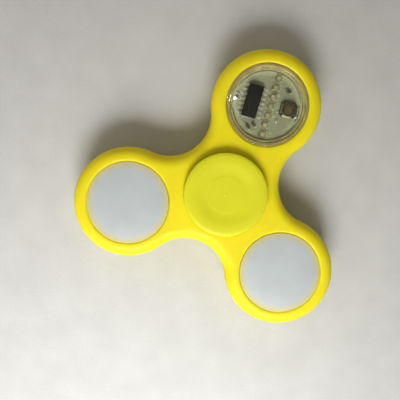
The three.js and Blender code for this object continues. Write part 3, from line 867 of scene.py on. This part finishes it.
def make_lamp(node, at, size, place, turn=0):
    """A lamp: a translucent body with a paler gel-filled middle, on four metal feet."""
    bm = bmesh.new()
    width, length, height = size
    wall = 0.2
    block(bm, (width, length, height - 0.08), (0, 0, 0), edge=0.08, slot=0)
    block(bm, (width - 2 * wall, length - 2 * wall, 0.2), (0, 0, height - 0.2), edge=0.09, slot=1)
    window = rounded([(0, height - 0.1), (0.4, height - 0.1), (0.4, height - 0.01, 0.04)], closed=False)
    lathe(bm, window + [(0.25, height + 0.02), (0, height + 0.03)], segments=32, slot=1)
    for sx, sy in FOUR:
        foot = (sx * (width / 2 - 0.1), sy * (length / 2 - 0.1), 0)
        block(bm, (0.34, 0.24, 0.3), foot, edge=0.03, slot=2)
    stand_for(bm, node, [LAMP_BODY, LAMP_GEL, TIN], shifted(place, at, turn))


def make_small_part(node, at, turn, place, body_paint):
    """A resistor or capacitor: a ceramic body between two metal ends."""
    bm = bmesh.new()
    block(bm, (0.76, 1.1, 0.46), (0, 0, 0.01), edge=0.05, slot=0)
    for end in (-1, 1):
        block(bm, (0.8, 0.32, 0.5), (0, end * 0.64, 0), edge=0.06, slot=1)
    stand_for(bm, node, [body_paint, DULL_TIN], shifted(place, at, turn))


def make_switch(name, place):
    """A push switch: a black body under a metal cover with cut corners, and a round plunger."""
    at = local(place, f"{name}_switch_base")
    half, corner = SWITCH_SIDE / 2, SWITCH_SIDE / 2 - 0.9
    octagon = [(half, -corner), (half, corner), (corner, half), (-corner, half),
               (-half, corner), (-half, -corner), (-corner, -half), (corner, -half)]
    cover = [(x * 0.94, y * 0.94) for x, y in octagon]
    top = SWITCH_TOP
    shift = shifted(place, (at.x, at.y, 0))
    bm = bmesh.new()
    prism(bm, octagon, BOARD_TOP + GAP, top - 0.42, edge=0.05, slot=0)
    prism(bm, cover, top - 0.5, top - 0.12, edge=0.28, slot=1, drop=0.15)
    collar = [(1.12, top - 0.3), (1.75, top - 0.3), (1.75, top, 0.08), (1.12, top, 0.08)]
    lathe(bm, rounded(collar), segments=64, slot=0)
    stake = rounded([(0, top - 0.14), (0.27, top - 0.14), (0.27, top, 0.1)], closed=False)
    for sx, sy in FOUR:
        lathe(bm, stake + [(0, top)], centre=(sx * 1.55, sy * 1.55), segments=20, slot=0)
    stand_for(bm, f"{name}_switch_base", [SWITCH_BLACK, DARK_METAL], shift)
    bm = bmesh.new()
    top = PLUNGER_TOP
    corners = [(0, PLUNGER_LOW), (1, PLUNGER_LOW, 0.08), (1, top - 0.14, 0.05), (0.78, top, 0.05)]
    corners += [(0.45, top, 0.05), (0.4, top - 0.06), (0, top - 0.06)]
    lathe(bm, rounded(corners, closed=False), segments=64)
    stand_for(bm, f"{name}_switch_plunger", [PLUNGER], shift)


def make_board(name, place):
    """A round board, masked on both faces and bare on its chamfered edge."""
    bm = bmesh.new()
    cut = 0.06
    lathe_open(bm, [(BOARD_R - cut, BOARD_TOP), (0, BOARD_TOP)], 0, 144)
    side = [(BOARD_R - cut, BOARD_BOTTOM), (BOARD_R, BOARD_BOTTOM + cut), (BOARD_R, BOARD_TOP - cut)]
    lathe_open(bm, side + [(BOARD_R - cut, BOARD_TOP)], 1, 144)
    lathe_open(bm, [(0, BOARD_BOTTOM), (BOARD_R - cut, BOARD_BOTTOM)], 0, 144)
    stand_for(bm, f"{name}_board", [MASK, FIBRE], place)


# ---- Message module ----
CHIP_X = -4.07
CHIP_SIZE = (3.9, 8.65, 1.15)
CHIP_LIFT = 0.1
LEAD_PITCH = 1.27
LEADS_A_SIDE = 7
LAMP_SIZE = (1.5, 1.6, 0.75)
FLASH_LAMP_SIZE = (2, 1.6, 0.9)
FLASH_LAMP_RING = 6
PAD_T = 0.03
SMALL_TURNS = {
    "message_resistor_1": 49,
    "message_resistor_2": 49,
    "message_resistor_3": 75,
    "message_capacitor": 0,
}
# Plated holes in the free parts of the board
HOLES = [(-5.35, -4.75), (-6.6, -4.6), (3.1, -6.9), (2.3, 3.2), (2.6, -2.4), (7.6, -3.6), (-1.2, 7.9),
         (-7.2, 4.9)]
PART_Z = BOARD_TOP + GAP


def lead_places():
    """Places of the chip's leads along y, on either side."""
    middle = (LEADS_A_SIDE - 1) // 2
    return [((i - middle) * LEAD_PITCH, side) for i in range(LEADS_A_SIDE) for side in (-1, 1)]


def make_chip(place):
    """A black body with a faint ring at its first lead, and bent leads down both sides."""
    bm = bmesh.new()
    width, length, height = CHIP_SIZE
    block(bm, (width, length, height), (0, 0, CHIP_LIFT), edge=0.09, slot=0)
    top = height + CHIP_LIFT
    mark = [(0.34, top - 0.05), (0.46, top - 0.05), (0.46, top + 0.012), (0.34, top + 0.012)]
    lathe(bm, mark, (-width / 2 + 0.75, length / 2 - 0.75), 32)
    path = [(1.6, 0.66), (2.1, 0.66), (2.24, 0.62), (2.32, 0.52), (2.4, 0.27), (2.47, 0.15), (2.6, 0.1)]
    path += [(3, 0.1)]
    for y, side in lead_places():
        strip(bm, [(side * x, z) for x, z in path], 0.2, 0.42, at=(0, y, 0), slot=1)
    stand_for(bm, "message_chip", [EPOXY, TIN], shifted(place, (CHIP_X, 0, PART_Z)))


def make_board_metal(place, lamps, smalls, switch):
    """Pads and solder at the parts' ends, a free blob of solder, and plated holes."""
    bm = bmesh.new()
    z = BOARD_TOP
    for y, side in lead_places():
        x = CHIP_X + side * 2.85
        block(bm, (1.1, 0.56, PAD_T), (x, y, z))
        dome(bm, (x + side * 0.1, y, z + 0.02), 0.36, 0.22, 0.15)
    for lamp in lamps:
        for sx, sy in FOUR:
            x, y = lamp.x + sx * 0.86, lamp.y + sy * 0.72
            block(bm, (0.5, 0.36, PAD_T), (x, y, z))
            dome(bm, (x, y, z + 0.02), 0.17, 0.14, 0.12)
    for at, turn in smalls:
        for end in (-1, 1):
            out = Matrix.Rotation(math.radians(turn), 2) @ Vector((0, end * 0.92))
            dome(bm, (at.x + out.x, at.y + out.y, z), 0.4, 0.2, 0.22, turn=turn)
    for sx, sy in FOUR:
        x, y = switch.x + sx * 2.5, switch.y + sy * 1.12
        heap = 1.5 if (sx, sy) == (1, -1) else 1
        dome(bm, (x, y, z), 0.38 * heap, 0.3 * heap, 0.24 * heap)
        block(bm, (0.6, 0.3, 0.2), (x - sx * 0.1, y, z), edge=0.04)
    dome(bm, (3.6, -3.3, z), 0.36, 0.75, 0.34)
    hole = [(0.16, z - 0.1), (0.32, z - 0.1), (0.32, z + PAD_T), (0.16, z + PAD_T)]
    for x, y in HOLES:
        lathe(bm, rounded(hole), (x, y), 20)
    piece(bm, "message_solder", "rotor", [TIN], place=place)


def make_board_tracks(place, lamps):
    """Copper tracks under the mask, from the chip to the lamps and round the edge, lands under the lamps,
    and a printed line at either end of the chip."""
    bm = bmesh.new()
    z = BOARD_TOP
    for i, lamp in enumerate(lamps):
        start = Vector((CHIP_X + 3.2, (i - 3) * LEAD_PITCH))
        reach = lamp.x - 1.0 - start.x
        knee = start + Vector((min(0.35, reach / 2), 0))
        slant = min(abs(lamp.y - start.y), reach - 0.4)
        corner = knee + Vector((slant, math.copysign(slant, lamp.y - start.y)))
        route = [start, knee, corner, Vector((corner.x, lamp.y)), Vector((lamp.x - 0.9, lamp.y))]
        for a, b in zip(route, route[1:]):
            track(bm, a, b, 0.22, z, 0)
    for x in (2.35, 2.75):
        track(bm, Vector((x, -7.2)), Vector((x, 7.2)), 0.2, z, 0)
    for radius, start, end in ((9.1, 20, 160), (9.1, 200, 340), (8.7, -15, 15)):
        points = [polar(radius, start + (end - start) * i / 40) for i in range(41)]
        for a, b in zip(points, points[1:]):
            track(bm, a, b, 0.3, z, 0)
    for lamp in lamps:
        block(bm, (1.9, 1.84, 0.02), (lamp.x, lamp.y, z), slot=2)
    line_y = CHIP_SIZE[1] / 2 + 0.25
    for y in (-line_y, line_y):
        track(bm, Vector((CHIP_X - 1.9, y)), Vector((CHIP_X + 1.9, y)), 0.13, z + 0.006, 1)
    piece(bm, "message_board_tracks", "rotor", [TRACK, INK, LAMP_LAND], place=place)


def track(bm, start, end, width, z, slot):
    """A thin flat bar from one point to another."""
    along = end - start
    if along.length < 1e-3:
        return
    middle = (start + end) / 2
    turn = math.degrees(math.atan2(along.y, along.x))
    size = (along.length + width * 0.9, width, 0.022)
    block(bm, size, (middle.x, middle.y, z), turn, slot=slot)


def make_message_parts(place):
    make_lens_rim(place)
    make_chip(place)
    lamps = [local(place, f"message_led_{i}") for i in range(1, 8)]
    for i, at in enumerate(lamps, 1):
        make_lamp(f"message_led_{i}", (at.x, at.y, PART_Z), LAMP_SIZE, place)
    smalls = []
    for node, turn in SMALL_TURNS.items():
        at = local(place, node)
        paint = CERAMIC if "capacitor" in node else RESISTOR
        make_small_part(node, (at.x, at.y, PART_Z), turn, place, paint)
        smalls.append((at, turn))
    make_board_metal(place, lamps, smalls, local(place, "message_switch_base"))
    make_board_tracks(place, lamps)
    make_strip("message_board_contact", 210, 330, BOARD_BOTTOM - 0.17, place)


# ---- Flash modules ----
def make_flash_parts(name, place):
    for colour, angle in (("red", 90), ("green", 210), ("blue", 330)):
        at = polar(FLASH_LAMP_RING, angle)
        node = f"{name}_led_{colour}"
        make_lamp(node, (at.x, at.y, PART_Z), FLASH_LAMP_SIZE, place, angle - 90)


def make_modules():
    for name in MODULES:
        place = module_place(name)
        paint, fall = (CLEAR, 2) if name == "message" else (MILKY, 4)
        make_lens(name, place, paint, fall)
        make_housing(name, place)
        make_board(name, place)
        make_switch(name, place)
        make_cells(name, place)
        make_strip(f"{name}_contact_strip", 90, 210, HOUSING_FLOOR + GAP, place)
        if name == "message":
            make_message_parts(place)
        else:
            make_flash_parts(name, place)


# ---- Stage ----
FLOOR_SIDE = 6000
FLOOR_GAP = 0.00002  # metres that keep the lower cap's flat face clear of the floor's
SKY_LOW, SKY_HIGH = 0.66, 0.19
SKY_RIGHT = 0.48  # share of the sky's light that comes from the picture's right


def make_floor():
    bm = bmesh.new()
    bmesh.ops.create_grid(bm, x_segments=2, y_segments=2, size=FLOOR_SIDE / 2 * MM)
    mesh = bpy.data.meshes.new("floor")
    bm.to_mesh(mesh)
    bm.free()
    mesh.materials.append(floor_paint())
    floor = add_object("floor", mesh)
    floor.location.z = CAD_BOX[0].z - FLOOR_GAP


def picture_turn():
    """Rotation from the picture's right and up to the spinner's axes."""
    return Matrix.Rotation(math.radians(-VIEW_TURN), 3, "Z")


def make_light(name, spot, aim, side, power, colour, shape="SQUARE", spread=180):
    """A soft light. spot and aim are the picture's right and up, and the height above the middle."""
    turn = picture_turn()
    spot, aim = turn @ Vector(spot) * MM, turn @ Vector(aim) * MM
    lamp = bpy.data.lights.new(name, "AREA")
    lamp.shape, lamp.size, lamp.energy, lamp.color = shape, side * MM, power, colour
    lamp.spread = math.radians(spread)
    light = add_object(name, lamp)
    light.location = spot
    light.rotation_mode = "QUATERNION"
    light.rotation_quaternion = (aim - spot).to_track_quat("-Z", "Y")


def ramp(tree, value, low, high, to_low, to_high):
    """Maps one range of a value in the world's nodes to another."""
    made = tree.nodes.new("ShaderNodeMapRange")
    limits = {"From Min": low, "From Max": high, "To Min": to_low, "To Max": to_high}
    for socket, limit in limits.items():
        made.inputs[socket].default_value = limit
    tree.links.new(value, made.inputs["Value"])
    return made.outputs["Result"]


def make_world():
    """Soft light from all round, dimmer overhead, and dimmer from the picture's right."""
    world = bpy.data.worlds.new("studio")
    bpy.context.scene.world = world
    world.use_nodes = True
    tree = world.node_tree
    way = tree.nodes.new("ShaderNodeTexCoord").outputs["Generated"]
    split = tree.nodes.new("ShaderNodeSeparateXYZ")
    tree.links.new(way, split.inputs["Vector"])
    rightwards = tree.nodes.new("ShaderNodeVectorMath")
    rightwards.operation = "DOT_PRODUCT"
    rightwards.inputs[1].default_value = picture_turn() @ Vector((1, 0, 0))
    tree.links.new(way, rightwards.inputs[0])
    both = tree.nodes.new("ShaderNodeMath")
    both.operation = "MULTIPLY"
    upward = ramp(tree, split.outputs["Z"], 0.2, 0.95, SKY_LOW, SKY_HIGH)
    sideways = ramp(tree, rightwards.outputs["Value"], -0.3, 0.8, 1, SKY_RIGHT)
    tree.links.new(upward, both.inputs[0])
    tree.links.new(sideways, both.inputs[1])
    background = tree.nodes["Background"]
    background.inputs["Color"].default_value = (1, 0.92, 0.77, 1)
    tree.links.new(both.outputs["Value"], background.inputs["Strength"])


def make_lights():
    # Sides in millimetres, powers in watts. The spark is a small lamp that glints in the clear lens.
    make_light("key", spot=(-42, -238, 215), aim=(-38, -98, 0), side=190, power=0.259,
               colour=(1, 0.99, 0.97), spread=75)
    make_light("fill", spot=(-160, 260, 380), aim=(-20, 0, 0), side=360, power=0.045,
               colour=(0.95, 0.97, 1))
    make_light("spark", spot=(-4.5, 65, 402), aim=(0, 30, 5), side=7, power=0.012,
               colour=(1, 1, 1), shape="DISK")
    make_world()
    bpy.context.scene.view_settings.view_transform = "Standard"
    bpy.context.scene.view_settings.look = "Medium High Contrast"


make_camera()
make_frame()
make_caps()
make_bearing()
make_cage()
make_modules()
make_floor()
make_lights()

bpy.context.view_layer.update()
